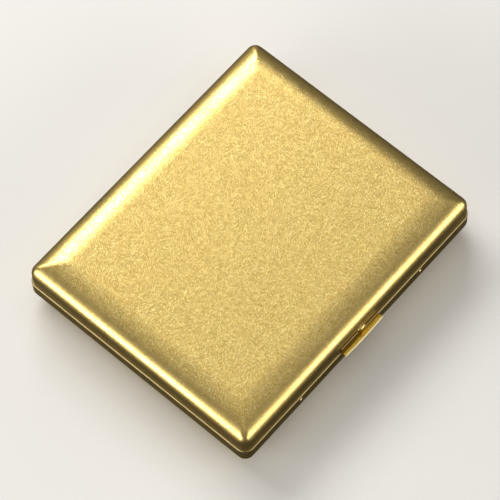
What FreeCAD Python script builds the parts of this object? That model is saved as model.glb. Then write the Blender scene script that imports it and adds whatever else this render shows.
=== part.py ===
"""Needle case: two drawn brass halves hinged along one long side and held shut by a snap catch.

Frame: the origin is the centre of the flat face that the case rests on. +X runs along the hinge,
+Y points to the hinge side, +Z is up. Lengths are in millimetres.
"""
import FreeCAD, Part
import math
import os

# Overall sizes
case_length = 96.0
case_width = 80.3
case_height = 19.0

# Drawn halves
sheet = 0.6
seam_gap = 0.1
base_height = 9.45
base_proud = 0.3            # how far the base's rim stands out past the lid's, all round
corner_radius = 3.0         # plan radius of a corner at the rim
corner_radius_flat = 0.7    # plan radius where the rolled edge runs into the flat face
corner_fade = 1.5           # the corner tightens from one to the other over about this far in
rim_chamfer = 0.16          # the filed edge outside the base's rim
roll_inset = 9.3            # how far in the rolled edge reaches
roll_rise = 5.3             # how high the rolled edge is
roll_sections = 16
roll_margin = 0.3           # what is fixed to a wall stops this far from the rolled edge

# Hinge
hinge_length = 78.0
hinge_offset = 0.45         # the pin's axis stands this far outside the base's back wall
knuckle_radius = 1.0
knuckle_count = 5
knuckle_gap = 0.15
hinge_leaf = 0.4
pin_radius = 0.5
pin_clearance = 0.05
pin_head_radius = 0.8
pin_head_length = 0.4
notch_clearance = 0.15

# Strips soldered inside the base's rim, which locate the lid
strip_thickness = 0.4
strip_above_rim = 1.25
strip_below_rim = 2.9
strip_clearance = 0.15      # between a strip and the lid's wall
strip_corner_gap = 3.4      # a strip stops this short of the corner
strip_hinge_gap = 8.0       # a side strip stops this short of the back wall

# Snap catch
catch_x = 0.4
catch_half_span = 25.3      # from the middle of the case to a catch rivet
catch_strip_end = 1.9       # the strip runs on past its rivet by this much
catch_strip_height = 2.5
catch_rivet_drop = 2.0      # from the base's rim down to a rivet's axis
catch_joggle = 2.0
tongue_width = 9.0
tongue_above_rim = 3.6
nub_height_above_rim = 2.4
nub_length = 1.9
nub_rise = 1.0
nub_proud = 0.75
dimple_wall = 0.32
dimple_proud = 1.0
dimple_clearance = 0.3
catch_rivet_radius = 0.45
catch_rivet_head = 0.75
catch_rivet_head_height = 0.35

# Thumb lift on the lid
lift_x = -0.6
lift_length = 15.6
lift_sheet = 0.5
lift_flange_height = 2.6    # left of the dimple
lift_flange_low = 1.2       # right of the dimple
lift_edge_round = 0.3       # rounding along the ledge's outer edge
lift_reach = 2.0            # from the base's outer wall to the lift's edge
lift_bow = 0.2              # the edge's middle stands out past its ends by this much
lift_notch_radius = 2.1

# Linings
board = 0.6
board_lift = 0.9            # between the flat of a half and its board
board_clearance = 0.25
board_corner = 3.0
pad_margin = 1.0            # a felt stops this far inside its board's edge
base_pad = 2.0
lid_felt = 1.4
glue_line = 0.05

# Needle leaves and their spine
spine_length = 72.0
spine_width = 2.0
spine_inset = 0.4           # from the board's back edge
spine_rest_height = 2.4
spine_tape = 1.6
spine_bar = 0.6
spine_rivet_count = 3
spine_rivet_pitch = 32.0
spine_rivet_radius = 0.5
spine_rivet_head = 0.85
spine_rivet_head_height = 0.35
leaf_thickness = 0.8
leaf_gap = 0.2
leaf_length = 76.0
leaf_front_gap = 2.6        # from the front strips to the leaves' free edge
leaf_corner = 2.0
leaf_fold_gap = 0.55        # from the spine to the upper leaf's fold
leaf_fold_step = 0.75       # from the upper leaf's fold to the lower leaf's
leaf_back_edge = 0.15

# Elastic band across the lid
band_width = 10.5
band_thickness = 0.5
band_end_inset = 2.4        # from the lid felt's edge to the band's end
band_plate = 0.4
band_plate_length = 3.2
band_plate_margin = 0.6
band_rivet_radius = 0.4
band_rivet_head = 0.7
band_rivet_head_height = 0.3
band_rivet_spacing = 7.0
hole_clearance = 0.05

# Places that follow from the sizes
lid_rim = base_height + seam_gap
hinge_z = base_height + seam_gap / 2
hinge_y = case_width / 2 + hinge_offset
lid_length = case_length - 2 * base_proud
lid_width = case_width - 2 * base_proud
lid_height = case_height - lid_rim
base_inner_y = case_width / 2 - sheet
base_inner_x = case_length / 2 - sheet
lid_inner_y = lid_width / 2 - sheet
lid_inner_x = lid_length / 2 - sheet
strip_outer_y = lid_inner_y - strip_clearance
strip_outer_x = lid_inner_x - strip_clearance
strip_inner_y = strip_outer_y - strip_thickness
strip_inner_x = strip_outer_x - strip_thickness
board_z = sheet + board_lift
pad_z = board_z + board + glue_line
lid_board_top = case_height - sheet - board_lift
lid_felt_top = lid_board_top - board - glue_line
lid_felt_bottom = lid_felt_top - lid_felt


def box(x0, x1, y0, y1, z0, z1):
    """A box between two corners."""
    return Part.makeBox(x1 - x0, y1 - y0, z1 - z0, FreeCAD.Vector(x0, y0, z0))


def rounded_wire(length, width, radius, z):
    """A closed rounded rectangle at height z, centred on the Z axis."""
    x, y, r = length / 2, width / 2, radius
    h = r * math.sqrt(0.5)
    edges = []
    corners = [(x, y, 1, 1), (-x, y, -1, 1), (-x, -y, -1, -1), (x, -y, 1, -1)]
    ends = []
    for cx, cy, sx, sy in corners:
        side = FreeCAD.Vector(cx, cy - sy * r, z)
        along = FreeCAD.Vector(cx - sx * r, cy, z)
        middle = FreeCAD.Vector(cx - sx * (r - h), cy - sy * (r - h), z)
        first, last = (side, along) if sx * sy > 0 else (along, side)
        ends.append((first, middle, last))
    for i, (first, middle, last) in enumerate(ends):
        edges.append(Part.Arc(first, middle, last).toShape())
        edges.append(Part.makeLine(last, ends[(i + 1) % 4][0]))
    return Part.Wire(edges)


def rounded_plate(length, width, radius, z, thickness):
    """A flat plate with rounded corners, centred on the Z axis."""
    face = Part.Face(rounded_wire(length, width, radius, z))
    return face.extrude(FreeCAD.Vector(0, 0, thickness))


def rod(x, y, z, radius, length, axis=(0, 0, 1)):
    """A cylinder that starts at a point and runs along an axis."""
    return Part.makeCylinder(radius, length, FreeCAD.Vector(x, y, z), FreeCAD.Vector(*axis))


def dome(x, y, z, radius, height, axis):
    """A low rivet head on a flat face, rising along an axis."""
    ball_radius = (radius * radius + height * height) / (2 * height)
    direction = FreeCAD.Vector(*axis)
    foot = FreeCAD.Vector(x, y, z)
    ball = Part.makeSphere(ball_radius, foot - direction * (ball_radius - height))
    return ball.common(Part.makeCylinder(radius, height, foot, direction))


def ellipsoid(x, y, z, rx, ry, rz):
    """A closed ellipsoid about a point."""
    matrix = FreeCAD.Matrix()
    matrix.scale(rx, ry, rz)
    matrix.move(FreeCAD.Vector(x, y, z))
    return Part.makeSphere(1.0).transformGeometry(matrix)


def crowned_block(length, width, height, inset, rise, radius):
    """A block on z = 0 with upright sides, whose top edge rolls over into a flat face."""
    wall = height - rise
    lower = rounded_plate(length, width, radius, 0, wall)
    wires = []
    for i in range(roll_sections + 1):
        turn = math.pi / 2 * i / roll_sections
        in_by = inset * (1 - math.cos(turn))
        r = corner_radius_flat + (radius - corner_radius_flat) * math.exp(-in_by / corner_fade)
        level = wall + rise * math.sin(turn)
        wires.append(rounded_wire(length - 2 * in_by, width - 2 * in_by, r, level))
    return lower.fuse(Part.makeLoft(wires, True, False)).removeSplitter()


def drawn_half(length, width, height, chamfer=0.0):
    """A drawn half, open downwards, with its rim on z = 0 and that rim's outer edge chamfered."""
    outside = crowned_block(length, width, height, roll_inset, roll_rise, corner_radius)
    if chamfer:
        rim = [e for e in outside.Edges if e.BoundBox.ZMax < chamfer and e.BoundBox.ZMin > -chamfer]
        outside = outside.makeChamfer(chamfer, rim)
    inside = crowned_block(length - 2 * sheet, width - 2 * sheet, height - sheet,
                           roll_inset - sheet, roll_rise - sheet, corner_radius - sheet)
    return outside.cut(inside)


def wall_inset(depth):
    """How far inside the outer wall the inner face of a half is, at a depth below its flat face."""
    rise = roll_rise - sheet
    up = max(0.0, min(1.0, (roll_rise - depth) / rise))
    return roll_inset - (roll_inset - sheet) * math.sqrt(1 - up * up)


def hinge_notch(z0, z1):
    """The slot in a back wall's edge that the hinge knuckles lie in."""
    half = hinge_length / 2 + pin_head_length + notch_clearance
    return box(-half, half, base_inner_y - 2 * sheet, case_width / 2 + sheet, z0, z1)


def base_shell():
    """The lower half, with the hinge slot and the holes for the catch rivets."""
    half = drawn_half(case_length, case_width, base_height, rim_chamfer)
    half.rotate(FreeCAD.Vector(0, 0, 0), FreeCAD.Vector(1, 0, 0), 180)
    half.translate(FreeCAD.Vector(0, 0, base_height))
    reach = knuckle_radius + notch_clearance
    half = half.cut(hinge_notch(hinge_z - reach, base_height + sheet))
    for x in (-catch_half_span, catch_half_span):
        hole = rod(x, -case_width / 2 - sheet, base_height - catch_rivet_drop,
                   catch_rivet_radius + hole_clearance, 3 * sheet, (0, 1, 0))
        half = half.cut(hole)
    return half


def lid_shell():
    """The upper half, with the hinge slot and the dimple that the catch snaps into."""
    half = drawn_half(lid_length, lid_width, lid_height)
    half.translate(FreeCAD.Vector(0, 0, lid_rim))
    reach = knuckle_radius + notch_clearance
    half = half.cut(hinge_notch(lid_rim - sheet, hinge_z + reach))
    face = -lid_width / 2
    z = base_height + nub_height_above_rim
    rx = nub_length / 2 + dimple_clearance
    rz = nub_rise / 2 + dimple_clearance
    outer = ellipsoid(catch_x, face, z, rx + dimple_wall, dimple_proud, rz + dimple_wall)
    inner = ellipsoid(catch_x, face, z, rx, dimple_proud - dimple_wall, rz)
    well = inner.fuse(elliptic_rod(catch_x, face, z, rx, rz, 2 * sheet))
    return half.fuse(outer).cut(well)


def elliptic_rod(x, y, z, rx, rz, length):
    """A rod of elliptical section that runs along +Y from a point."""
    matrix = FreeCAD.Matrix()
    matrix.scale(rx, 1, rz)
    matrix.move(FreeCAD.Vector(x, y, z))
    return rod(0, 0, 0, 1, length, (0, 1, 0)).transformGeometry(matrix)


def knuckle_spans(first):
    """The start and end of every second knuckle along the hinge."""
    pitch = hinge_length / knuckle_count
    spans = []
    for i in range(first, knuckle_count, 2):
        x0 = -hinge_length / 2 + i * pitch + knuckle_gap / 2
        spans.append((x0, x0 + pitch - knuckle_gap))
    return spans


def hinge_leaf_piece(first, wall_y, side):
    """A leaf soldered inside a back wall, with knuckles rolled out of it. side is -1 below, 1 above."""
    edge = hinge_z + side * knuckle_radius
    foot = roll_rise + roll_margin if side < 0 else case_height - roll_rise - roll_margin
    web = sorted((edge, edge - side * hinge_leaf))
    plate = sorted((edge - side * hinge_leaf, foot))
    half = hinge_length / 2
    leaf = box(-half, half, wall_y - hinge_leaf, wall_y, plate[0], plate[1])
    for x0, x1 in knuckle_spans(first):
        leaf = leaf.fuse(box(x0, x1, wall_y - hinge_leaf, hinge_y, web[0], web[1]))
        leaf = leaf.fuse(rod(x0, hinge_y, hinge_z, knuckle_radius, x1 - x0, (1, 0, 0)))
    bore = rod(-half, hinge_y, hinge_z, pin_radius + pin_clearance, hinge_length, (1, 0, 0))
    return leaf.cut(bore).removeSplitter()


def hinge_pin():
    """The hinge wire, upset at both ends."""
    half = hinge_length / 2
    pin = rod(-half, hinge_y, hinge_z, pin_radius, hinge_length, (1, 0, 0))
    for x in (-half - pin_head_length, half):
        pin = pin.fuse(rod(x, hinge_y, hinge_z, pin_head_radius, pin_head_length, (1, 0, 0)))
    return pin.removeSplitter()


def side_strip(side):
    """A stepped strip along a side wall of the base. side is -1 or 1."""
    y0 = -base_inner_y + strip_corner_gap
    y1 = base_inner_y - strip_hinge_gap
    low = base_height - strip_below_rim
    foot = sorted((side * base_inner_x, side * strip_inner_x))
    lip = sorted((side * strip_outer_x, side * strip_inner_x))
    strip = box(foot[0], foot[1], y0, y1, low, base_height)
    return strip.fuse(box(lip[0], lip[1], y0, y1, low, base_height + strip_above_rim)).removeSplitter()


def front_strip(side):
    """A stepped strip along the front wall, between a corner and the catch."""
    near = catch_half_span + catch_strip_end + strip_clearance
    far = base_inner_x - strip_corner_gap
    x0, x1 = sorted((side * near, side * far))
    low = base_height - strip_below_rim
    strip = box(x0, x1, -base_inner_y, -strip_inner_y, low, base_height)
    lip = box(x0, x1, -strip_outer_y, -strip_inner_y, low, base_height + strip_above_rim)
    return strip.fuse(lip).removeSplitter()


def catch_spring():
    """The spring strip behind the front wall, with the tongue and nub that snap into the lid."""
    end = catch_half_span + catch_strip_end
    bend = catch_half_span - catch_strip_end
    flat = bend - catch_joggle
    wall = -base_inner_y
    free = -strip_outer_y
    t = strip_thickness
    outline = [(-end, wall), (-bend, wall), (-flat, free), (flat, free), (bend, wall), (end, wall),
               (end, wall + t), (bend, wall + t), (flat, free + t), (-flat, free + t),
               (-bend, wall + t), (-end, wall + t)]
    top = base_height - catch_rivet_drop + catch_strip_height / 2
    low = max(top - catch_strip_height, roll_rise + roll_margin)
    points = [FreeCAD.Vector(x, y, low) for x, y in outline + outline[:1]]
    strip = Part.Face(Part.makePolygon(points)).extrude(FreeCAD.Vector(0, 0, top - low))
    z = base_height + nub_height_above_rim
    tongue = box(catch_x - tongue_width / 2, catch_x + tongue_width / 2, free, free + t,
                 low, base_height + tongue_above_rim)
    nub = ellipsoid(catch_x, free, z, nub_length / 2, nub_proud, nub_rise / 2)
    nub = nub.common(box(catch_x - nub_length, catch_x + nub_length, free - nub_proud, free + t / 2,
                         z - nub_rise, z + nub_rise))
    spring = strip.fuse(tongue).fuse(nub)
    for x in (-catch_half_span, catch_half_span):
        spring = spring.cut(rod(x, wall - t, base_height - catch_rivet_drop,
                                catch_rivet_radius + hole_clearance, 3 * t, (0, 1, 0)))
    return spring.removeSplitter()


def catch_rivets():
    """The two rivets that hold the spring strip, domed outside and clinched inside."""
    rivets = []
    z = base_height - catch_rivet_drop
    outer = -case_width / 2
    inner = -base_inner_y + strip_thickness
    for x in (-catch_half_span, catch_half_span):
        shank = rod(x, outer, z, catch_rivet_radius, inner - outer, (0, 1, 0))
        head = dome(x, outer, z, catch_rivet_head, catch_rivet_head_height, (0, -1, 0))
        clinch = rod(x, inner, z, catch_rivet_head, catch_rivet_head_height / 2, (0, 1, 0))
        rivets.append(shank.fuse([head, clinch]))
    return Part.makeCompound(rivets)


def thumb_lift():
    """The bent lift soldered to the lid: a flange notched round the dimple, and a ledge."""
    x0 = lift_x - lift_length / 2
    x1 = lift_x + lift_length / 2
    wall = -lid_width / 2
    edge = -case_width / 2 - lift_reach
    z0 = lid_rim
    flange = box(x0, catch_x, wall - lift_sheet, wall, z0, z0 + lift_flange_height)
    flange = flange.fuse(box(catch_x, x1, wall - lift_sheet, wall, z0, z0 + lift_flange_low))
    notch = rod(catch_x, wall - 2 * lift_sheet, base_height + nub_height_above_rim,
                lift_notch_radius, 3 * lift_sheet, (0, 1, 0))
    low = FreeCAD.Vector(x0, wall, z0)
    corner = FreeCAD.Vector(x0, edge + lift_bow, z0)
    middle = FreeCAD.Vector(lift_x, edge, z0)
    far = FreeCAD.Vector(x1, edge + lift_bow, z0)
    back = FreeCAD.Vector(x1, wall, z0)
    rim = [Part.makeLine(low, corner), Part.Arc(corner, middle, far).toShape(),
           Part.makeLine(far, back), Part.makeLine(back, low)]
    ledge = Part.Face(Part.Wire(rim)).extrude(FreeCAD.Vector(0, 0, lift_sheet))
    outer = [e for e in ledge.Edges if e.Curve.TypeId == "Part::GeomCircle" and e.BoundBox.ZMin > z0]
    ledge = ledge.makeFillet(lift_edge_round, outer)
    return flange.cut(notch).fuse(ledge).removeSplitter()


def spine_rivet_places():
    """Where the spine rivets stand along X."""
    first = -(spine_rivet_count - 1) / 2 * spine_rivet_pitch
    return [first + i * spine_rivet_pitch for i in range(spine_rivet_count)]


def with_spine_holes(plate, z0, height):
    """A piece of the spine with its rivet holes."""
    for x in spine_rivet_places():
        hole = rod(x, spine_y(), z0 - board, spine_rivet_radius + hole_clearance, height + 2 * board)
        plate = plate.cut(hole)
    return plate


def board_half_width():
    """Half the width of the base's board, which lies on the rolled edge."""
    return case_width / 2 - wall_inset(board_z) - board_clearance


def board_half_length():
    """Half the length of the base's board."""
    return case_length / 2 - wall_inset(board_z) - board_clearance


def lid_board_half(outer):
    """Half the length or width of the lid's board, from half that of the lid."""
    return outer / 2 - wall_inset(case_height - lid_board_top) - board_clearance


def spine_y():
    """The middle line of the spine that holds the leaves."""
    return board_half_width() - spine_inset - spine_width / 2


def spine_layer(z0, height):
    """One layer of the spine, with its rivet holes."""
    y0 = spine_y() - spine_width / 2
    layer = box(-spine_length / 2, spine_length / 2, y0, y0 + spine_width, z0, z0 + height)
    return with_spine_holes(layer, z0, height)


def base_board():
    """The card that the needle pad is glued to."""
    plate = rounded_plate(2 * board_half_length(), 2 * board_half_width(), board_corner,
                          board_z, board)
    return with_spine_holes(plate, board_z, board)


def needle_pad():
    """The thick felt in the base that needles are pushed into."""
    half_x = board_half_length() - pad_margin
    front = -board_half_width() + pad_margin
    back = spine_y() - spine_width / 2 - leaf_fold_gap
    pad = rounded_plate(2 * half_x, back - front, board_corner - pad_margin, pad_z, base_pad)
    pad.translate(FreeCAD.Vector(0, (front + back) / 2, 0))
    return pad


def spine_rest_z():
    """The underside of the spine's rest bar."""
    return board_z + board


def spine_tape_z():
    """The underside of the tape that the leaves are sewn to."""
    return spine_rest_z() + spine_rest_height


def spine_clamp_z():
    """The underside of the clamp bar."""
    return spine_tape_z() + spine_tape + 2 * glue_line


def spine_rivets():
    """The rivets through the clamp bar, tape, rest bar and board."""
    rivets = []
    top = spine_clamp_z() + spine_bar
    for x in spine_rivet_places():
        shank = rod(x, spine_y(), board_z, spine_rivet_radius, top - board_z)
        head = dome(x, spine_y(), top, spine_rivet_head, spine_rivet_head_height, (0, 0, 1))
        clinch = rod(x, spine_y(), board_z - spine_rivet_head_height / 2, spine_rivet_head,
                     spine_rivet_head_height / 2)
        rivets.append(shank.fuse([head, clinch]))
    return Part.makeCompound(rivets)


def needle_leaf(level):
    """A felt leaf. Level 0 lies on the pad and level 1 lies on that."""
    fold = spine_y() - spine_width / 2 - leaf_fold_gap - (1 - level) * leaf_fold_step
    back = fold - leaf_back_edge
    front = -strip_inner_y + leaf_front_gap
    z = spine_tape_z() + level * (leaf_thickness + leaf_gap)
    leaf = rounded_plate(leaf_length, back - front, leaf_corner, z, leaf_thickness)
    leaf.translate(FreeCAD.Vector(0, (front + back) / 2, 0))
    return leaf


def lid_felt_size():
    """Half the length and half the width of the lid's felt."""
    return lid_board_half(lid_length) - pad_margin, lid_board_half(lid_width) - pad_margin


def band_rivet_places():
    """Where the band rivets stand, as (x, y)."""
    x = lid_felt_size()[0] - band_end_inset - band_plate_length / 2
    y = band_rivet_spacing / 2
    return [(-x, -y), (-x, y), (x, -y), (x, y)]


def with_band_holes(plate, z0, height):
    """A layer of the lid with the holes for the band rivets."""
    for x, y in band_rivet_places():
        plate = plate.cut(rod(x, y, z0 - board, band_rivet_radius + hole_clearance, height + 2 * board))
    return plate


def lid_board():
    """The card behind the lid's felt."""
    plate = rounded_plate(2 * lid_board_half(lid_length), 2 * lid_board_half(lid_width), board_corner,
                          lid_board_top - board, board)
    return with_band_holes(plate, lid_board_top - board, board)


def lid_lining():
    """The thin felt in the lid."""
    half_x, half_y = lid_felt_size()
    plate = rounded_plate(2 * half_x, 2 * half_y, board_corner - pad_margin, lid_felt_bottom, lid_felt)
    return with_band_holes(plate, lid_felt_bottom, lid_felt)


def elastic_band():
    """The band that holds thread cards and packets against the lid."""
    half = lid_felt_size()[0] - band_end_inset
    top = lid_felt_bottom - glue_line
    band = box(-half, half, -band_width / 2, band_width / 2, top - band_thickness, top)
    return with_band_holes(band, top - band_thickness, band_thickness)


def band_plate_top():
    """The face of a band plate that lies against the band."""
    return lid_felt_bottom - 2 * glue_line - band_thickness


def band_plates():
    """The two small brass plates that clamp the ends of the band."""
    half = lid_felt_size()[0] - band_end_inset
    half_y = band_width / 2 + band_plate_margin
    top = band_plate_top()
    plates = []
    for x0 in (-half, half - band_plate_length):
        plate = box(x0, x0 + band_plate_length, -half_y, half_y, top - band_plate, top)
        plates.append(with_band_holes(plate, top - band_plate, band_plate))
    return Part.makeCompound(plates)


def band_rivets():
    """The four rivets through the plates, the band, the felt and the board."""
    low = band_plate_top() - band_plate
    rivets = []
    for x, y in band_rivet_places():
        shank = rod(x, y, low, band_rivet_radius, lid_board_top - low)
        head = dome(x, y, low, band_rivet_head, band_rivet_head_height, (0, 0, -1))
        clinch = rod(x, y, lid_board_top, band_rivet_head, band_rivet_head_height / 2)
        rivets.append(shank.fuse([head, clinch]))
    return Part.makeCompound(rivets)


pieces = {
    "base_shell": base_shell(),
    "lid_shell": lid_shell(),
    "base_hinge_leaf": hinge_leaf_piece(0, base_inner_y, -1),
    "lid_hinge_leaf": hinge_leaf_piece(1, lid_inner_y, 1),
    "hinge_pin": hinge_pin(),
    "rim_strip_left": side_strip(-1),
    "rim_strip_right": side_strip(1),
    "rim_strip_front_left": front_strip(-1),
    "rim_strip_front_right": front_strip(1),
    "catch_spring": catch_spring(),
    "catch_rivets": catch_rivets(),
    "thumb_lift": thumb_lift(),
    "base_board": base_board(),
    "needle_pad": needle_pad(),
    "leaf_rest_bar": spine_layer(spine_rest_z(), spine_rest_height - glue_line),
    "leaf_tape": spine_layer(spine_tape_z() + glue_line, spine_tape),
    "leaf_clamp_bar": spine_layer(spine_clamp_z(), spine_bar),
    "leaf_rivets": spine_rivets(),
    "needle_leaf_lower": needle_leaf(0),
    "needle_leaf_upper": needle_leaf(1),
    "lid_board": lid_board(),
    "lid_felt": lid_lining(),
    "elastic_band": elastic_band(),
    "band_end_plates": band_plates(),
    "band_rivets": band_rivets(),
}

os.makedirs("parts", exist_ok=True)
for name, shape in pieces.items():
    shape.exportStep(f"parts/{name}.step")
    print(f"{name}: {len(shape.Solids)} solids, valid {shape.isValid()}, {shape.Volume:.2f} mm3")
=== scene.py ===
import bmesh
import bpy
import math
from mathutils import Matrix, Vector


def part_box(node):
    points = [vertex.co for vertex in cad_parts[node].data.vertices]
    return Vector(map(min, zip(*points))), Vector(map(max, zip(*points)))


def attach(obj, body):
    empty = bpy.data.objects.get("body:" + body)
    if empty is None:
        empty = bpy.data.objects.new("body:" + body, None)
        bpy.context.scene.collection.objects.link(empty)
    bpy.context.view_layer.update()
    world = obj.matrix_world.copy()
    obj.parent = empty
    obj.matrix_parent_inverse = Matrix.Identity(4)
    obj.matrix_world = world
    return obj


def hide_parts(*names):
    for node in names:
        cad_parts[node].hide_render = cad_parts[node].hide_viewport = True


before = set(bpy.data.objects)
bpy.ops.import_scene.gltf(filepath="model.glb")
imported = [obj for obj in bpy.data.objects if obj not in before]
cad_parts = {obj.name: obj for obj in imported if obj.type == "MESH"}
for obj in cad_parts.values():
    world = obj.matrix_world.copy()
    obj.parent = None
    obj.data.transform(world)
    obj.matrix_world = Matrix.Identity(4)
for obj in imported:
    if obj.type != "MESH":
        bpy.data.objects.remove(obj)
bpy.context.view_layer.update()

# ---------------------------------------------------------------------------------------------
# The two case halves. Each is drawn from 0.6 mm brass sheet, trimmed at the rim and tumbled with
# stone chips, which leaves a satin ground covered in short nicks lying every way.


def add_node(tree, kind, *wires, **settings):
    """Adds a node. settings are its properties, and wires are (input, socket or value) pairs."""
    made = tree.nodes.new(kind)
    for key, value in settings.items():
        setattr(made, key, value)
    for name, source in wires:
        if isinstance(source, bpy.types.NodeSocket):
            tree.links.new(source, made.inputs[name])
        else:
            made.inputs[name].default_value = source
    return made


def math_node(tree, operation, first, second=0.0, third=0.0, clamp=False):
    """Adds a Math node and returns its output."""
    made = add_node(tree, "ShaderNodeMath", (0, first), (1, second), (2, third), operation=operation)
    made.use_clamp = clamp
    return made.outputs[0]


def mix_colours(tree, factor, first, second, blend="MIX"):
    """Adds a colour Mix node and returns its output."""
    made = add_node(tree, "ShaderNodeMix", data_type="RGBA", blend_type=blend)
    for socket, source in ((made.inputs[0], factor), (made.inputs[6], first), (made.inputs[7], second)):
        if isinstance(source, bpy.types.NodeSocket):
            tree.links.new(source, socket)
        else:
            socket.default_value = source
    return made.outputs[2]


def ramp(tree, source, low, high, low_value=0.0, high_value=1.0):
    """Maps a value from one range to another, smoothly, and returns the output."""
    made = add_node(tree, "ShaderNodeMapRange", ("Value", source), ("From Min", low), ("From Max", high),
                    ("To Min", low_value), ("To Max", high_value), interpolation_type="SMOOTHSTEP")
    return made.outputs[0]


def new_group(name, inputs, outputs):
    """Makes an empty shader node group. inputs are (name, type, value) and outputs (name, type)."""
    tree = bpy.data.node_groups.new(name, "ShaderNodeTree")
    for label, kind, value in inputs:
        socket = tree.interface.new_socket(name=label, in_out="INPUT", socket_type=kind)
        if value is not None:
            socket.default_value = value
    for label, kind in outputs:
        tree.interface.new_socket(name=label, in_out="OUTPUT", socket_type=kind)
    return tree, tree.nodes.new("NodeGroupInput").outputs, tree.nodes.new("NodeGroupOutput").inputs


FLOAT, VECTOR = "NodeSocketFloat", "NodeSocketVector"


def sheet_plane_group():
    """Lays a flat pattern on a part: on XY where the surface faces up or down, else on a wall's own plane.
    Level is 1 on a level face and falls to 0 where the sheet turns down."""
    tree, given, put = new_group("sheet_plane", [], [("Flat", VECTOR), ("Level", FLOAT)])
    place = add_node(tree, "ShaderNodeTexCoord").outputs
    point = add_node(tree, "ShaderNodeSeparateXYZ", (0, place["Object"])).outputs
    facing = add_node(tree, "ShaderNodeSeparateXYZ", (0, place["Normal"])).outputs
    up = math_node(tree, "ABSOLUTE", facing[2])
    across = math_node(tree, "ABSOLUTE", facing[0])
    on_flat = math_node(tree, "GREATER_THAN", up, 0.6)
    on_end = math_node(tree, "GREATER_THAN", across, math_node(tree, "ABSOLUTE", facing[1]))
    flat = add_node(tree, "ShaderNodeCombineXYZ", (0, point[0]), (1, point[1])).outputs[0]
    end = add_node(tree, "ShaderNodeCombineXYZ", (0, point[1]), (1, point[2])).outputs[0]
    side = add_node(tree, "ShaderNodeCombineXYZ", (0, point[0]), (1, point[2])).outputs[0]
    wall = add_node(tree, "ShaderNodeMix", (0, on_end), (4, side), (5, end), data_type="VECTOR").outputs[1]
    both = add_node(tree, "ShaderNodeMix", (0, on_flat), (4, wall), (5, flat),
                    data_type="VECTOR").outputs[1]
    tree.links.new(both, put["Flat"])
    tree.links.new(ramp(tree, up, 0.80, 0.985), put["Level"])
    return tree


def nicks_group():
    """One short, slightly curved nick in each cell of a random pattern, each lying its own way."""
    tree, given, put = new_group(
        "nicks",
        [("Vector", VECTOR, None), ("Per Metre", FLOAT, 500.0), ("Length", FLOAT, 0.001),
         ("Width", FLOAT, 0.00005), ("Curl", FLOAT, 60.0), ("Share", FLOAT, 0.7)],
        [("Mask", FLOAT), ("Tone", FLOAT)])
    cells = add_node(tree, "ShaderNodeTexVoronoi", ("Vector", given["Vector"]),
                     ("Scale", given["Per Metre"]), voronoi_dimensions="2D").outputs
    offset = add_node(tree, "ShaderNodeVectorMath", (0, given["Vector"]), (1, cells["Position"]),
                      operation="SUBTRACT").outputs[0]
    chance = add_node(tree, "ShaderNodeSeparateColor", (0, cells["Color"])).outputs
    turn = math_node(tree, "MULTIPLY", chance[0], math.tau)
    turned = add_node(tree, "ShaderNodeVectorRotate", ("Vector", offset), ("Angle", turn),
                      rotation_type="Z_AXIS").outputs[0]
    part = add_node(tree, "ShaderNodeSeparateXYZ", (0, turned)).outputs
    bow = math_node(tree, "MULTIPLY", math_node(tree, "MULTIPLY", part[0], part[0]), given["Curl"])
    aside = math_node(tree, "ABSOLUTE", math_node(tree, "SUBTRACT", part[1], bow))
    along = math_node(tree, "ABSOLUTE", part[0])
    thin = ramp(tree, math_node(tree, "DIVIDE", aside, given["Width"]), 0.3, 1.0, 1.0, 0.0)
    reach = math_node(tree, "MULTIPLY", given["Length"], math_node(tree, "ADD", 0.25, math_node(
        tree, "MULTIPLY", chance[1], 0.3)))
    short = ramp(tree, math_node(tree, "DIVIDE", along, reach), 0.5, 1.0, 1.0, 0.0)
    kept = math_node(tree, "LESS_THAN", chance[2], given["Share"])
    mask = math_node(tree, "MULTIPLY", math_node(tree, "MULTIPLY", thin, short), kept)
    tree.links.new(mask, put["Mask"])
    tree.links.new(chance[1], put["Tone"])
    return tree


sheet_plane = sheet_plane_group()
nicks = nicks_group()


def place_group(tree, group, *wires):
    """Adds a node group to a material and returns its outputs."""
    made = add_node(tree, "ShaderNodeGroup", node_tree=group)
    for name, source in wires:
        if isinstance(source, bpy.types.NodeSocket):
            tree.links.new(source, made.inputs[name])
        else:
            made.inputs[name].default_value = source
    return made.outputs


def noise(tree, vector, scale, detail=3.0, roughness=0.5):
    """Adds a Noise texture and returns its value."""
    return add_node(tree, "ShaderNodeTexNoise", ("Vector", vector), ("Scale", scale), ("Detail", detail),
                    ("Roughness", roughness)).outputs[0]


def new_material(name):
    """Makes a material and returns it with its tree and its Principled node."""
    made = bpy.data.materials.new(name)
    made.use_nodes = True
    return made, made.node_tree, made.node_tree.nodes["Principled BSDF"]


def shifted(tree, vector, x, y):
    """Slides a flat pattern along, so that two layers of it do not line up."""
    return add_node(tree, "ShaderNodeVectorMath", (0, vector), (1, (x, y, 0.0)), operation="ADD").outputs[0]


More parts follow.
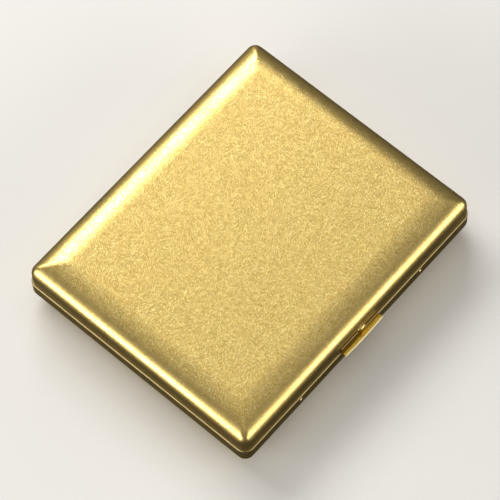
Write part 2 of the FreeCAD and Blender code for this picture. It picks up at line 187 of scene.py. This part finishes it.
def tumbled_brass(name, colour, pale, shade, roughness, wear=1.0):
    """Brass sheet after tumbling: fine satin grain under pale and dark nicks of three sizes."""
    made, tree, skin = new_material(name)
    laid = place_group(tree, sheet_plane)
    plane = laid["Flat"]
    solid = add_node(tree, "ShaderNodeTexCoord").outputs["Object"]
    worn = math_node(tree, "ADD", 0.35 * wear, math_node(tree, "MULTIPLY", laid["Level"], 0.65 * wear))
    cloud = noise(tree, solid, 90.0, 3.0, 0.55)
    blotch = noise(tree, solid, 520.0, 3.0, 0.7)
    grain = noise(tree, solid, 2700.0, 2.0, 0.9)
    sizes = ((620.0, 0.0013, 0.00012, 0.25), (1250.0, 0.0007, 0.00009, 0.6), (1900.0, 0.0005, 0.00008, 0.8),
             (860.0, 0.0009, 0.00010, 0.40), (1700.0, 0.00055, 0.00008, 0.8))
    cuts = []
    for i, (per_metre, length, width, share) in enumerate(sizes):
        layer = shifted(tree, plane, 0.013 * i, 0.029 * i)
        cuts.append(place_group(tree, nicks, ("Vector", layer), ("Per Metre", per_metre),
                                ("Length", length), ("Width", width), ("Share", share))["Mask"])
    bright = math_node(tree, "MAXIMUM", cuts[0], math_node(tree, "MAXIMUM", cuts[1], cuts[2]))
    dark = math_node(tree, "MAXIMUM", cuts[3], cuts[4])
    tone = mix_colours(tree, ramp(tree, cloud, 0.3, 0.7, 0.0, 0.22), colour, shade)
    blotched = ramp(tree, blotch, 0.42, 0.62)
    grained = ramp(tree, grain, 0.40, 0.60)
    for mask, amount in ((blotched, 0.42), (grained, 0.75), (dark, 1.0)):
        share = math_node(tree, "MULTIPLY", math_node(tree, "MULTIPLY", mask, amount), worn)
        tone = mix_colours(tree, share, tone, shade)
    # The nicks are real dents, given by the bump and roughness; their paler colour is a painted glint.
    painted_glint = math_node(tree, "MULTIPLY", math_node(tree, "MULTIPLY", bright, 0.85), worn)
    tone = mix_colours(tree, painted_glint, tone, pale)
    tree.links.new(tone, skin.inputs["Base Color"])
    rough = math_node(tree, "ADD", ramp(tree, cloud, 0.3, 0.7, roughness - 0.02, roughness + 0.02),
                      ramp(tree, grain, 0.3, 0.7, -0.05, 0.05))
    rough = math_node(tree, "SUBTRACT", rough, math_node(tree, "MULTIPLY", bright, 0.08))
    tree.links.new(rough, skin.inputs["Roughness"])
    skin.inputs["Metallic"].default_value = 1.0
    height = math_node(tree, "SUBTRACT", math_node(tree, "MULTIPLY", grain, 1.1), dark)
    height = math_node(tree, "SUBTRACT", height, math_node(tree, "MULTIPLY", bright, 0.8))
    bump = add_node(tree, "ShaderNodeBump", ("Strength", math_node(tree, "MULTIPLY", worn, 0.45)),
                    ("Distance", 0.000020), ("Height", height)).outputs[0]
    tree.links.new(bump, skin.inputs["Normal"])
    return made


def overlay(material, mask, colour, roughness):
    """Lays another finish over a material where mask, a function of its tree, is 1."""
    tree = material.node_tree
    skin = tree.nodes["Principled BSDF"]
    place = add_node(tree, "ShaderNodeTexCoord").outputs
    share = mask(tree, add_node(tree, "ShaderNodeSeparateXYZ", (0, place["Object"])).outputs,
                 add_node(tree, "ShaderNodeSeparateXYZ", (0, place["Normal"])).outputs)
    for key, value in (("Base Color", colour), ("Roughness", (roughness,) * 3 + (1,))):
        under = skin.inputs[key].links[0].from_socket
        tree.links.new(mix_colours(tree, share, under, value), skin.inputs[key])


def dress(node, material):
    """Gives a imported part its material."""
    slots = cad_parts[node].data.materials
    slots.clear()
    slots.append(material)


case_brass = tumbled_brass("case_brass", (0.90, 0.685, 0.24, 1), (1.0, 0.86, 0.42, 1),
                           (0.46, 0.30, 0.07, 1), 0.34)
rim_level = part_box("base_shell")[1].z


def seam_painted_shade(tree, at, facing):
    """The two rims where the halves meet, painted darker and duller as shade in the seam."""
    level = ramp(tree, math_node(tree, "ABSOLUTE", facing[2]), 0.2, 0.4)
    apart = math_node(tree, "ABSOLUTE", math_node(tree, "SUBTRACT", at[2], rim_level))
    return math_node(tree, "MULTIPLY", level, ramp(tree, apart, 0.0004, 0.0003))


# Painted shade: the rims where the two halves meet are darkened.
overlay(case_brass, seam_painted_shade, (0.33, 0.265, 0.13, 1), 0.44)
for half in ("base_shell", "lid_shell"):
    dress(half, case_brass)

# ---------------------------------------------------------------------------------------------
# The thumb lift and the catch rivets. The lift is bent from harder strip and soldered to the lid; its ledge
# edge and the top of its flange carry painted highlights, and its flange painted shade. The rivets are
# brass wire, set cold, tumbled bright with the case.

lift_brass = tumbled_brass("lift_brass", (0.62, 0.39, 0.035, 1), (0.88, 0.70, 0.30, 1),
                           (0.34, 0.21, 0.03, 1), 0.20, 0.4)
rivet_brass = tumbled_brass("rivet_brass", (0.88, 0.66, 0.34, 1), (0.96, 0.80, 0.50, 1),
                            (0.36, 0.21, 0.08, 1), 0.34, 0.6)
lift_low, lift_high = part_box("thumb_lift")
lift_middle = (lift_low.x + lift_high.x) / 2
lift_sheet = 0.0005
flange_front = lift_high.y - lift_sheet
lift_bow = 0.0002 / ((lift_high.x - lift_low.x) / 2) ** 2


def ledge_painted_highlight(tree, at, facing):
    """The ledge's outer edge, which bows out a little in the middle; it is painted pale as a highlight."""
    aside = math_node(tree, "SUBTRACT", at[0], lift_middle)
    bow = math_node(tree, "MULTIPLY", math_node(tree, "MULTIPLY", aside, aside), lift_bow)
    return ramp(tree, math_node(tree, "SUBTRACT", at[1], bow), lift_low.y + 0.00055, lift_low.y + 0.00025)


def flange_painted_shade(tree, at, facing):
    """The flange above the ledge, painted dark as shade."""
    return ramp(tree, at[2], lift_low.z + lift_sheet, lift_low.z + lift_sheet + 0.0002)


def flange_painted_highlight(tree, at, facing):
    """The outer corner of the flange's top edge, painted pale as a highlight."""
    level = math_node(tree, "MULTIPLY", ramp(tree, facing[2], 0.4, 0.6), flange_painted_shade(tree, at, facing))
    outer = ramp(tree, at[1], flange_front + 0.0002, flange_front + 0.0001)
    return math_node(tree, "MULTIPLY", level, outer)


# Painted highlight: the ledge's outer edge is painted pale.
overlay(lift_brass, ledge_painted_highlight, (1.0, 0.84, 0.45, 1), 0.36)
# Painted shade: the flange above the ledge is darkened.
overlay(lift_brass, flange_painted_shade, (0.16, 0.10, 0.03, 1), 0.50)
# Painted highlight: a thin pale line along the flange's top edge.
overlay(lift_brass, flange_painted_highlight, (0.95, 0.80, 0.44, 1), 0.38)
dress("thumb_lift", lift_brass)
dress("catch_rivets", rivet_brass)

# ---------------------------------------------------------------------------------------------
# The hinge, the rim strips and the catch spring. They are cut from rolled strip, so their grain
# runs one way, along X or along a wall, and they are left as rolled, with a dull film of tarnish.


def rolled_metal(name, colour, film, roughness, grain_scale, streaks=1.0):
    """Rolled or drawn metal: fine lines along one way, and a patchy film of tarnish."""
    made, tree, skin = new_material(name)
    solid = add_node(tree, "ShaderNodeTexCoord").outputs["Object"]
    stretched = add_node(tree, "ShaderNodeMapping", ("Vector", solid), ("Scale", grain_scale)).outputs[0]
    lines = noise(tree, stretched, 1.0, 4.0, 0.65)
    patches = noise(tree, solid, 260.0, 4.0, 0.6)
    specks = noise(tree, solid, 2400.0, 2.0, 0.6)
    tone = mix_colours(tree, ramp(tree, patches, 0.42, 0.70, 0.0, 0.8), colour, film)
    tone = mix_colours(tree, ramp(tree, lines, 0.35, 0.65, 0.0, 0.45 * streaks), tone, film)
    tone = mix_colours(tree, ramp(tree, specks, 0.60, 0.72, 0.0, 0.5), tone, film)
    tree.links.new(tone, skin.inputs["Base Color"])
    rough = math_node(tree, "ADD", ramp(tree, lines, 0.3, 0.7, roughness - 0.06, roughness + 0.06),
                      ramp(tree, patches, 0.4, 0.7, 0.0, 0.14))
    tree.links.new(rough, skin.inputs["Roughness"])
    skin.inputs["Metallic"].default_value = 1.0
    bump = add_node(tree, "ShaderNodeBump", ("Strength", 0.35 * streaks), ("Distance", 0.00002),
                    ("Height", lines)).outputs[0]
    tree.links.new(bump, skin.inputs["Normal"])
    return made


along_x = (60.0, 5200.0, 5200.0)
along_y = (5200.0, 60.0, 5200.0)
around_x = (2600.0, 140.0, 140.0)
hinge_brass = rolled_metal("hinge_brass", (0.72, 0.50, 0.16, 1), (0.40, 0.24, 0.08, 1), 0.30, along_x)
pin_steel = rolled_metal("pin_steel", (0.52, 0.51, 0.49, 1), (0.20, 0.16, 0.13, 1), 0.28, around_x)
strip_brass = rolled_metal("strip_brass", (0.74, 0.53, 0.19, 1), (0.45, 0.28, 0.09, 1), 0.28, along_x)
side_brass = rolled_metal("side_brass", (0.74, 0.53, 0.19, 1), (0.45, 0.28, 0.09, 1), 0.28, along_y)
spring_brass = rolled_metal("spring_brass", (0.80, 0.64, 0.32, 1), (0.50, 0.36, 0.16, 1), 0.20,
                            along_x, 0.7)
for name in ("base_hinge_leaf", "lid_hinge_leaf"):
    dress(name, hinge_brass)
dress("hinge_pin", pin_steel)
for name in ("rim_strip_front_left", "rim_strip_front_right"):
    dress(name, strip_brass)
for name in ("rim_strip_left", "rim_strip_right"):
    dress(name, side_brass)
dress("catch_spring", spring_brass)

# ---------------------------------------------------------------------------------------------
# The spine's bars and rivets, and the plates and rivets of the elastic band. The bars are sheared
# from the same rolled brass strip as the rim strips; the rivets are brass wire.

spine_brass = rolled_metal("spine_brass", (0.76, 0.57, 0.25, 1), (0.46, 0.30, 0.11, 1), 0.26, along_x, 0.8)
any_way = (900.0, 900.0, 900.0)
small_brass = rolled_metal("small_brass", (0.80, 0.62, 0.29, 1), (0.48, 0.32, 0.12, 1), 0.24, any_way)
for name in ("leaf_rest_bar", "leaf_clamp_bar", "band_end_plates"):
    dress(name, spine_brass)
for name in ("leaf_rivets", "band_rivets"):
    dress(name, small_brass)

# ---------------------------------------------------------------------------------------------
# The lining boards. They are die-cut from hard grey-brown card, pressed smooth, with rag fibres
# and a few darker specks in it.


def pressed_card(name, colour, fibre, speck):
    """Hard card: clouded, with pale fibres lying every way and dark specks."""
    made, tree, skin = new_material(name)
    plane = place_group(tree, sheet_plane)["Flat"]
    solid = add_node(tree, "ShaderNodeTexCoord").outputs["Object"]
    cloud = noise(tree, solid, 180.0, 4.0, 0.6)
    specks = noise(tree, solid, 2100.0, 2.0, 0.5)
    fibres = place_group(tree, nicks, ("Vector", plane), ("Per Metre", 420.0), ("Length", 0.0042),
                         ("Width", 0.00009), ("Curl", 90.0), ("Share", 0.8))["Mask"]
    tone = mix_colours(tree, ramp(tree, cloud, 0.3, 0.7, 0.0, 0.5), colour, speck)
    tone = mix_colours(tree, math_node(tree, "MULTIPLY", fibres, 0.5), tone, fibre)
    tone = mix_colours(tree, ramp(tree, specks, 0.66, 0.74, 0.0, 0.8), tone, speck)
    tree.links.new(tone, skin.inputs["Base Color"])
    tree.links.new(ramp(tree, cloud, 0.3, 0.7, 0.62, 0.78), skin.inputs["Roughness"])
    height = math_node(tree, "ADD", specks, fibres)
    bump = add_node(tree, "ShaderNodeBump", ("Strength", 0.4), ("Distance", 0.00005),
                    ("Height", height)).outputs[0]
    tree.links.new(bump, skin.inputs["Normal"])
    return made


card = pressed_card("lining_card", (0.26, 0.20, 0.14, 1), (0.50, 0.42, 0.31, 1), (0.12, 0.08, 0.05, 1))
dress("base_board", card)
dress("lid_board", card)

# ---------------------------------------------------------------------------------------------
# The needle pad in the base: thick wool felt, die-cut and glued down at its edges, so that it
# swells a little in the middle.


def felt(name, colour, shade, pale):
    """Wool felt: matted fibres of three lengths over a clouded ground, with a soft sheen."""
    made, tree, skin = new_material(name)
    plane = place_group(tree, sheet_plane)["Flat"]
    solid = add_node(tree, "ShaderNodeTexCoord").outputs["Object"]
    cloud = noise(tree, solid, 160.0, 4.0, 0.6)
    mat = noise(tree, solid, 1300.0, 5.0, 0.85)
    hairs = []
    for i, (per_metre, length, width) in enumerate(((560.0, 0.0022, 0.00008), (950.0, 0.0013, 0.00007),
                                                    (1200.0, 0.0011, 0.00007))):
        layer = shifted(tree, plane, 0.017 * i, 0.023 * i)
        hairs.append(place_group(tree, nicks, ("Vector", layer), ("Per Metre", per_metre),
                                 ("Length", length),
                                 ("Width", width), ("Curl", 150.0), ("Share", 0.9))["Mask"])
    tone = mix_colours(tree, ramp(tree, cloud, 0.3, 0.7, 0.0, 0.35), colour, shade)
    tone = mix_colours(tree, ramp(tree, mat, 0.35, 0.7, 0.0, 0.7), tone, shade)
    tone = mix_colours(tree, math_node(tree, "MULTIPLY", hairs[0], 0.35), tone, pale)
    tone = mix_colours(tree, math_node(tree, "MULTIPLY", hairs[1], 0.35), tone, pale)
    tone = mix_colours(tree, math_node(tree, "MULTIPLY", hairs[2], 0.6), tone, shade)
    tree.links.new(tone, skin.inputs["Base Color"])
    tree.links.new(ramp(tree, mat, 0.3, 0.7, 0.82, 0.98), skin.inputs["Roughness"])
    skin.inputs["Sheen Weight"].default_value = 0.35
    skin.inputs["Sheen Roughness"].default_value = 0.55
    skin.inputs["Sheen Tint"].default_value = pale
    skin.inputs["Specular IOR Level"].default_value = 0.15
    height = math_node(tree, "ADD", math_node(tree, "MULTIPLY", mat, 1.6), hairs[0])
    height = math_node(tree, "ADD", height, math_node(tree, "SUBTRACT", hairs[1], hairs[2]))
    bump = add_node(tree, "ShaderNodeBump", ("Strength", 0.75), ("Distance", 0.00014),
                    ("Height", height)).outputs[0]
    tree.links.new(bump, skin.inputs["Normal"])
    return made


def add_piece(name, shape, material):
    """Turns a finished bmesh into a piece with its material."""
    data = bpy.data.meshes.new(name)
    shape.to_mesh(data)
    shape.free()
    piece = bpy.data.objects.new(name, data)
    bpy.context.scene.collection.objects.link(piece)
    data.materials.append(material)
    data.polygons.foreach_set("use_smooth", [True] * len(data.polygons))
    return piece


def apply_modifier(piece, modifier):
    """Bakes one modifier into a piece's mesh."""
    bpy.context.view_layer.objects.active = piece
    bpy.context.view_layer.update()
    with bpy.context.temp_override(object=piece, active_object=piece):
        bpy.ops.object.modifier_apply(modifier=modifier.name)


def swell(piece, pressure, limit):
    """Inflates a closed pad by cloth simulation, moving no point further than a limit."""
    start = [v.co.copy() for v in piece.data.vertices]
    cloth = piece.modifiers.new("swell", "CLOTH")
    cloth.settings.use_pressure = True
    cloth.settings.uniform_pressure_force = pressure
    cloth.settings.effector_weights.gravity = 0.0
    cloth.settings.tension_stiffness = 40.0
    cloth.settings.compression_stiffness = 40.0
    cloth.point_cache.frame_start, cloth.point_cache.frame_end = 1, 20
    for step in range(1, 21):
        bpy.context.scene.frame_set(step)
    apply_modifier(piece, cloth)
    bpy.context.scene.frame_set(1)
    for vertex, before in zip(piece.data.vertices, start):
        moved = vertex.co - before
        if moved.length > limit:
            vertex.co = before + moved * (limit / moved.length)


red_felt = felt("red_felt", (0.235, 0.022, 0.032, 1), (0.100, 0.007, 0.012, 1), (0.46, 0.10, 0.11, 1))
pad_low, pad_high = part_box("needle_pad")
pad_inset = 0.00022
pad_corner = 0.0018
pad_cell = 0.0010
shape = bmesh.new()
bmesh.ops.create_cube(shape, size=1.0)
bmesh.ops.scale(shape, vec=pad_high - pad_low - Vector((2 * pad_inset,) * 3), verts=shape.verts)
bmesh.ops.translate(shape, vec=(pad_low + pad_high) / 2, verts=shape.verts)
uprights = [e for e in shape.edges if abs(e.verts[0].co.z - e.verts[1].co.z) > 0.0005]
bmesh.ops.bevel(shape, geom=uprights, offset=pad_corner, offset_type="OFFSET", segments=5, profile=0.5,
                affect="EDGES", material=-1)
rims = [e for e in shape.edges if abs(e.verts[0].co.z - e.verts[1].co.z) < 0.0001]
bmesh.ops.bevel(shape, geom=rims, offset=0.0004, offset_type="OFFSET", segments=2, profile=0.5,
                affect="EDGES", material=-1)
pad = add_piece("felt_needle_pad", shape, red_felt)
remesh = pad.modifiers.new("even", "REMESH")
remesh.mode = "VOXEL"
remesh.voxel_size = pad_cell
remesh.use_smooth_shade = True
apply_modifier(pad, remesh)
swell(pad, 4.0, pad_inset)
smooth = pad.modifiers.new("smooth", "SUBSURF")
smooth.levels = smooth.render_levels = 1
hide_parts("needle_pad")
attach(pad, "base")

# ---------------------------------------------------------------------------------------------
# The felt in the lid and the two flannel needle leaves. Each is a single sheet; the leaves are cut
# with pinking shears on their three free edges so that they do not fray.


def cut_sheet(node, cell, corner, thickness, pinked=(), ripple=0.0):
    """A flat sheet in a node's box. pinked names the edges with teeth, as axis and side pairs."""
    low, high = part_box(node)
    size = high - low
    middle = (low + high) / 2
    columns = 2 * round(size.x / cell / 2)
    rows = 2 * round(size.y / cell / 2)
    shape = bmesh.new()
    bmesh.ops.create_grid(shape, x_segments=columns, y_segments=rows, size=0.5)
    for vertex in shape.verts:
        column = round((vertex.co.x + 0.5) * columns)
        row = round((vertex.co.y + 0.5) * rows)
        x, y = vertex.co.x * size.x, vertex.co.y * size.y
        for axis, side in pinked:
            step, last = (column, columns) if axis == 0 else (row, rows)
            on_edge = step == (last if side > 0 else 0)
            if on_edge and (row if axis == 0 else column) % 2:
                x -= side * cell if axis == 0 else 0
                y -= side * cell if axis == 1 else 0
        reach = Vector((max(0, abs(x) - size.x / 2 + corner), max(0, abs(y) - size.y / 2 + corner)))
        if reach.x and reach.y and max(reach) > 1e-9:
            pulled = reach * (max(reach) / reach.length)
            x -= math.copysign(reach.x - pulled.x, x)
            y -= math.copysign(reach.y - pulled.y, y)
        wave = math.sin(x * 210 + 1.3) * math.sin(y * 170 + 0.4) + 0.5 * math.sin(x * 90 - y * 130)
        vertex.co = (middle.x + x, middle.y + y, middle.z + ripple * wave)
    bmesh.ops.solidify(shape, geom=shape.verts[:] + shape.edges[:] + shape.faces[:], thickness=thickness)
    bmesh.ops.recalc_face_normals(shape, faces=shape.faces)
    level = sum(v.co.z for v in shape.verts) / len(shape.verts)
    bmesh.ops.translate(shape, vec=(0, 0, middle.z - level), verts=shape.verts)
    return shape


def add_sheet(name, shape, material, node, body, soft_rim=True):
    """Finishes a sheet, which stands for a node and moves with a body. A cut edge has no soft rim."""
    piece = add_piece(name, shape, material)
    if soft_rim:
        smooth = piece.modifiers.new("smooth", "SUBSURF")
        smooth.levels = smooth.render_levels = 1
    else:
        piece.data.polygons.foreach_set("use_smooth", [False] * len(piece.data.polygons))
    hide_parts(node)
    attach(piece, body)
    return piece


cream_flannel = felt("cream_flannel", (0.72, 0.64, 0.48, 1), (0.50, 0.41, 0.27, 1), (0.86, 0.80, 0.66, 1))
lid_lining = add_sheet("felt_lid_lining", cut_sheet("lid_felt", 0.0014, 0.0020, 0.00125), red_felt,
                       "lid_felt", "lid")


def sew(name, leaf_node, pitch, inset, material, body):
    """A row of running stitches through a leaf, along its back edge."""
    low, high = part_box(leaf_node)
    middle = (low + high) / 2
    count = int((high.x - low.x - 4 * pitch) / pitch)
    shape = bmesh.new()
    for i in range(count):
        x = middle.x + (i - (count - 1) / 2) * pitch
        made = bmesh.ops.create_uvsphere(shape, u_segments=10, v_segments=6, radius=1.0)["verts"]
        bmesh.ops.scale(shape, vec=(pitch * 0.34, 0.00017, 0.00037), verts=made)
        bmesh.ops.translate(shape, vec=(x, high.y - inset, middle.z), verts=made)
    row = add_piece(name, shape, material)
    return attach(row, body)


free_edges = ((0, -1), (0, 1), (1, -1))
linen = felt("linen_thread", (0.42, 0.060, 0.065, 1), (0.20, 0.020, 0.025, 1), (0.62, 0.22, 0.20, 1))
for level, lies_on in (("lower", "felt_needle_pad"), ("upper", "flannel_leaf_lower")):
    node, body = "needle_leaf_" + level, level + "_leaf"
    leaf = add_sheet("flannel_leaf_" + level, cut_sheet(node, 0.0013, 0.0020, 0.0006, free_edges, 0.00003),
                     cream_flannel, node, body, soft_rim=False)
    stitches = sew("stitches_" + level, node, 0.0024, 0.0016, linen, body)

# ---------------------------------------------------------------------------------------------
# The binding tape of the spine, a strip of twilled cotton folded back and forth on itself between
# the bars, and the elastic band across the lid, which is braided over rubber.


def woven(name, colour, shade, pale, across, along, height):
    """A weave with ribs along X: across and along are the threads per metre each way."""
    made, tree, skin = new_material(name)
    solid = add_node(tree, "ShaderNodeTexCoord").outputs["Object"]
    at = add_node(tree, "ShaderNodeSeparateXYZ", (0, solid)).outputs
    rib = math_node(tree, "SINE", math_node(tree, "MULTIPLY", at[1], math.tau * across))
    half_step = math_node(tree, "MULTIPLY", math_node(tree, "SIGN", rib), math.pi / 2)
    pick = math_node(tree, "SINE", math_node(tree, "ADD",
                                             math_node(tree, "MULTIPLY", at[0], math.tau * along),
                                             half_step))
    thread = math_node(tree, "MULTIPLY", math_node(tree, "ABSOLUTE", rib), math_node(
        tree, "ADD", 0.6, math_node(tree, "MULTIPLY", pick, 0.4)))
    fuzz = noise(tree, solid, 4200.0, 3.0, 0.7)
    cloud = noise(tree, solid, 140.0, 3.0, 0.5)
    # Painted shade: the hollows between the threads are darker than their crests.
    tone = mix_colours(tree, ramp(tree, thread, 0.0, 0.8), shade, colour)
    tone = mix_colours(tree, ramp(tree, fuzz, 0.5, 0.8, 0.0, 0.6), tone, pale)
    tone = mix_colours(tree, ramp(tree, cloud, 0.4, 0.7, 0.0, 0.3), tone, shade)
    tree.links.new(tone, skin.inputs["Base Color"])
    tree.links.new(ramp(tree, fuzz, 0.3, 0.7, 0.70, 0.92), skin.inputs["Roughness"])
    skin.inputs["Sheen Weight"].default_value = 0.2
    skin.inputs["Specular IOR Level"].default_value = 0.25
    level = math_node(tree, "ADD", thread, math_node(tree, "MULTIPLY", fuzz, 0.35))
    bump = add_node(tree, "ShaderNodeBump", ("Strength", 0.8), ("Distance", height),
                    ("Height", level)).outputs[0]
    tree.links.new(bump, skin.inputs["Normal"])
    return made


cotton = woven("binding_cotton", (0.30, 0.045, 0.050, 1), (0.11, 0.012, 0.016, 1), (0.48, 0.16, 0.15, 1),
               2200.0, 1800.0, 0.00006)
tape_low, tape_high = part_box("leaf_tape")
fold_count = 7
tape_thickness = 0.00017
fold_pitch = (tape_high.z - tape_low.z - tape_thickness - 0.00004) / (fold_count - 1)
turn_radius = fold_pitch / 2
run_end = (tape_high.y - tape_low.y) / 2 - turn_radius - tape_thickness / 2 - 0.00002
tape_middle = (tape_low + tape_high) / 2
line = []
for i in range(fold_count):
    z = tape_low.z + 0.00002 + tape_thickness / 2 + i * fold_pitch
    way = 1 if i % 2 == 0 else -1
    line += [(way * run_end * t, z) for t in (-1, -0.5, 0, 0.5, 1)]
    if i < fold_count - 1:
        line += [(way * (run_end + turn_radius * math.sin(a)), z + turn_radius * (1 - math.cos(a)))
                 for a in (math.pi * k / 6 for k in range(1, 6))]
shape = bmesh.new()
half_tape = (tape_high.x - tape_low.x) / 2 - 0.0001
path = [shape.verts.new((-half_tape, tape_middle.y + y, z)) for y, z in line]
edges = [shape.edges.new(pair) for pair in zip(path, path[1:])]
tape_steps = 36
for step in range(tape_steps):
    grown = bmesh.ops.extrude_edge_only(shape, edges=edges)["geom"]
    edges = [g for g in grown if isinstance(g, bmesh.types.BMEdge)]
    row = [g for g in grown if isinstance(g, bmesh.types.BMVert)]
    bmesh.ops.translate(shape, vec=(2 * half_tape / tape_steps, 0, 0), verts=row)
    edges = [e for e in edges if all(v in row for v in e.verts)]
bmesh.ops.recalc_face_normals(shape, faces=shape.faces)
tape = add_piece("cotton_binding_tape", shape, cotton)
wall = tape.modifiers.new("thickness", "SOLIDIFY")
wall.thickness = tape_thickness
wall.offset = 0.0
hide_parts("leaf_tape")
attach(tape, "base")

braid = woven("braided_elastic", (0.055, 0.050, 0.048, 1), (0.015, 0.013, 0.012, 1), (0.16, 0.15, 0.14, 1),
              1150.0, 1900.0, 0.00010)
band = add_sheet("braided_band", cut_sheet("elastic_band", 0.0010, 0.0003, 0.00040), braid,
                 "elastic_band", "lid")

# ---------------------------------------------------------------------------------------------
# The stage. A sheet of pale paper lies just under the case, so that the two faces don't coincide.
# It is pale to look at but dark where brass mirrors it, and clear from below. Five soft boxes light
# the case, and the camera looks down at one front corner through a long lens.

paper_drop = 0.00002
floor_mesh = bmesh.new()
bmesh.ops.create_grid(floor_mesh, x_segments=1, y_segments=1, size=3.0)
bmesh.ops.translate(floor_mesh, vec=(0, 0, -paper_drop), verts=floor_mesh.verts)
floor_data = bpy.data.meshes.new("floor")
floor_mesh.to_mesh(floor_data)
floor = bpy.data.objects.new("floor", floor_data)
bpy.context.scene.collection.objects.link(floor)
paper, paper_tree, paper_skin = new_material("floor_paper")
mirrored = add_node(paper_tree, "ShaderNodeLightPath").outputs["Is Glossy Ray"]
paper_tree.links.new(mix_colours(paper_tree, mirrored, (0.80, 0.79, 0.77, 1), (0.05, 0.045, 0.04, 1)),
                     paper_skin.inputs["Base Color"])
paper_skin.inputs["Roughness"].default_value = 0.9
below = add_node(paper_tree, "ShaderNodeNewGeometry").outputs["Backfacing"]
paper_tree.links.new(math_node(paper_tree, "SUBTRACT", 1.0, below), paper_skin.inputs["Alpha"])
floor_data.materials.append(paper)

world = bpy.data.worlds.new("studio")
bpy.context.scene.world = world
world.use_nodes = True
world.node_tree.nodes["Background"].inputs[0].default_value = (1.0, 0.98, 0.95, 1)
world.node_tree.nodes["Background"].inputs[1].default_value = 0.16


def soft_box(name, azimuth, elevation, distance, width, height, power):
    """An area lamp that faces the case from a bearing (0 is +X, 90 is +Y) and a height, in degrees."""
    lamp = bpy.data.lights.new(name, "AREA")
    lamp.shape = "RECTANGLE"
    lamp.size, lamp.size_y = width, height
    lamp.energy = power
    lamp.color = (1.0, 0.98, 0.95)
    holder = bpy.data.objects.new(name, lamp)
    a, e = math.radians(azimuth), math.radians(elevation)
    away = Vector((math.cos(a) * math.cos(e), math.sin(a) * math.cos(e), math.sin(e)))
    holder.location = away * distance
    holder.rotation_euler = away.to_track_quat("Z", "Y").to_euler()
    bpy.context.scene.collection.objects.link(holder)


soft_box("front_box", -72, 13, 1.2, 1.5, 0.46, 7.8)
soft_box("left_box", 162, 12, 1.2, 1.5, 0.41, 12.5)
soft_box("back_box", 68, 38, 1.2, 1.2, 0.44, 13)
soft_box("top_box", 35, 60, 1.4, 1.2, 0.9, 0.9)
soft_box("ceiling_box", 0, 88, 1.4, 2.0, 1.8, 4.7)

look_az, look_el, look_roll = (math.radians(v) for v in (-46.1, 64.63, -3.19))
right = Vector((math.cos(look_az), math.sin(look_az), 0))
back = Vector((math.sin(look_az) * math.cos(look_el), -math.cos(look_az) * math.cos(look_el),
               math.sin(look_el)))
up = back.cross(right)
seam = Vector((0, 0, 0.0095))
lens = bpy.data.cameras.new("camera")
lens.sensor_width = 36.0
lens.lens = 214.992
lens.clip_start, lens.clip_end = 0.05, 20
camera = bpy.data.objects.new("camera", lens)
bpy.context.scene.collection.objects.link(camera)
camera.matrix_world = Matrix.Translation(seam + back * 0.8288 - right * 0.00017 - up * 0.0011) @ Matrix((
    right * math.cos(look_roll) + up * math.sin(look_roll),
    -right * math.sin(look_roll) + up * math.cos(look_roll),
    back)).transposed().to_4x4()
bpy.context.scene.camera = camera
bpy.context.scene.view_settings.view_transform = "Standard"
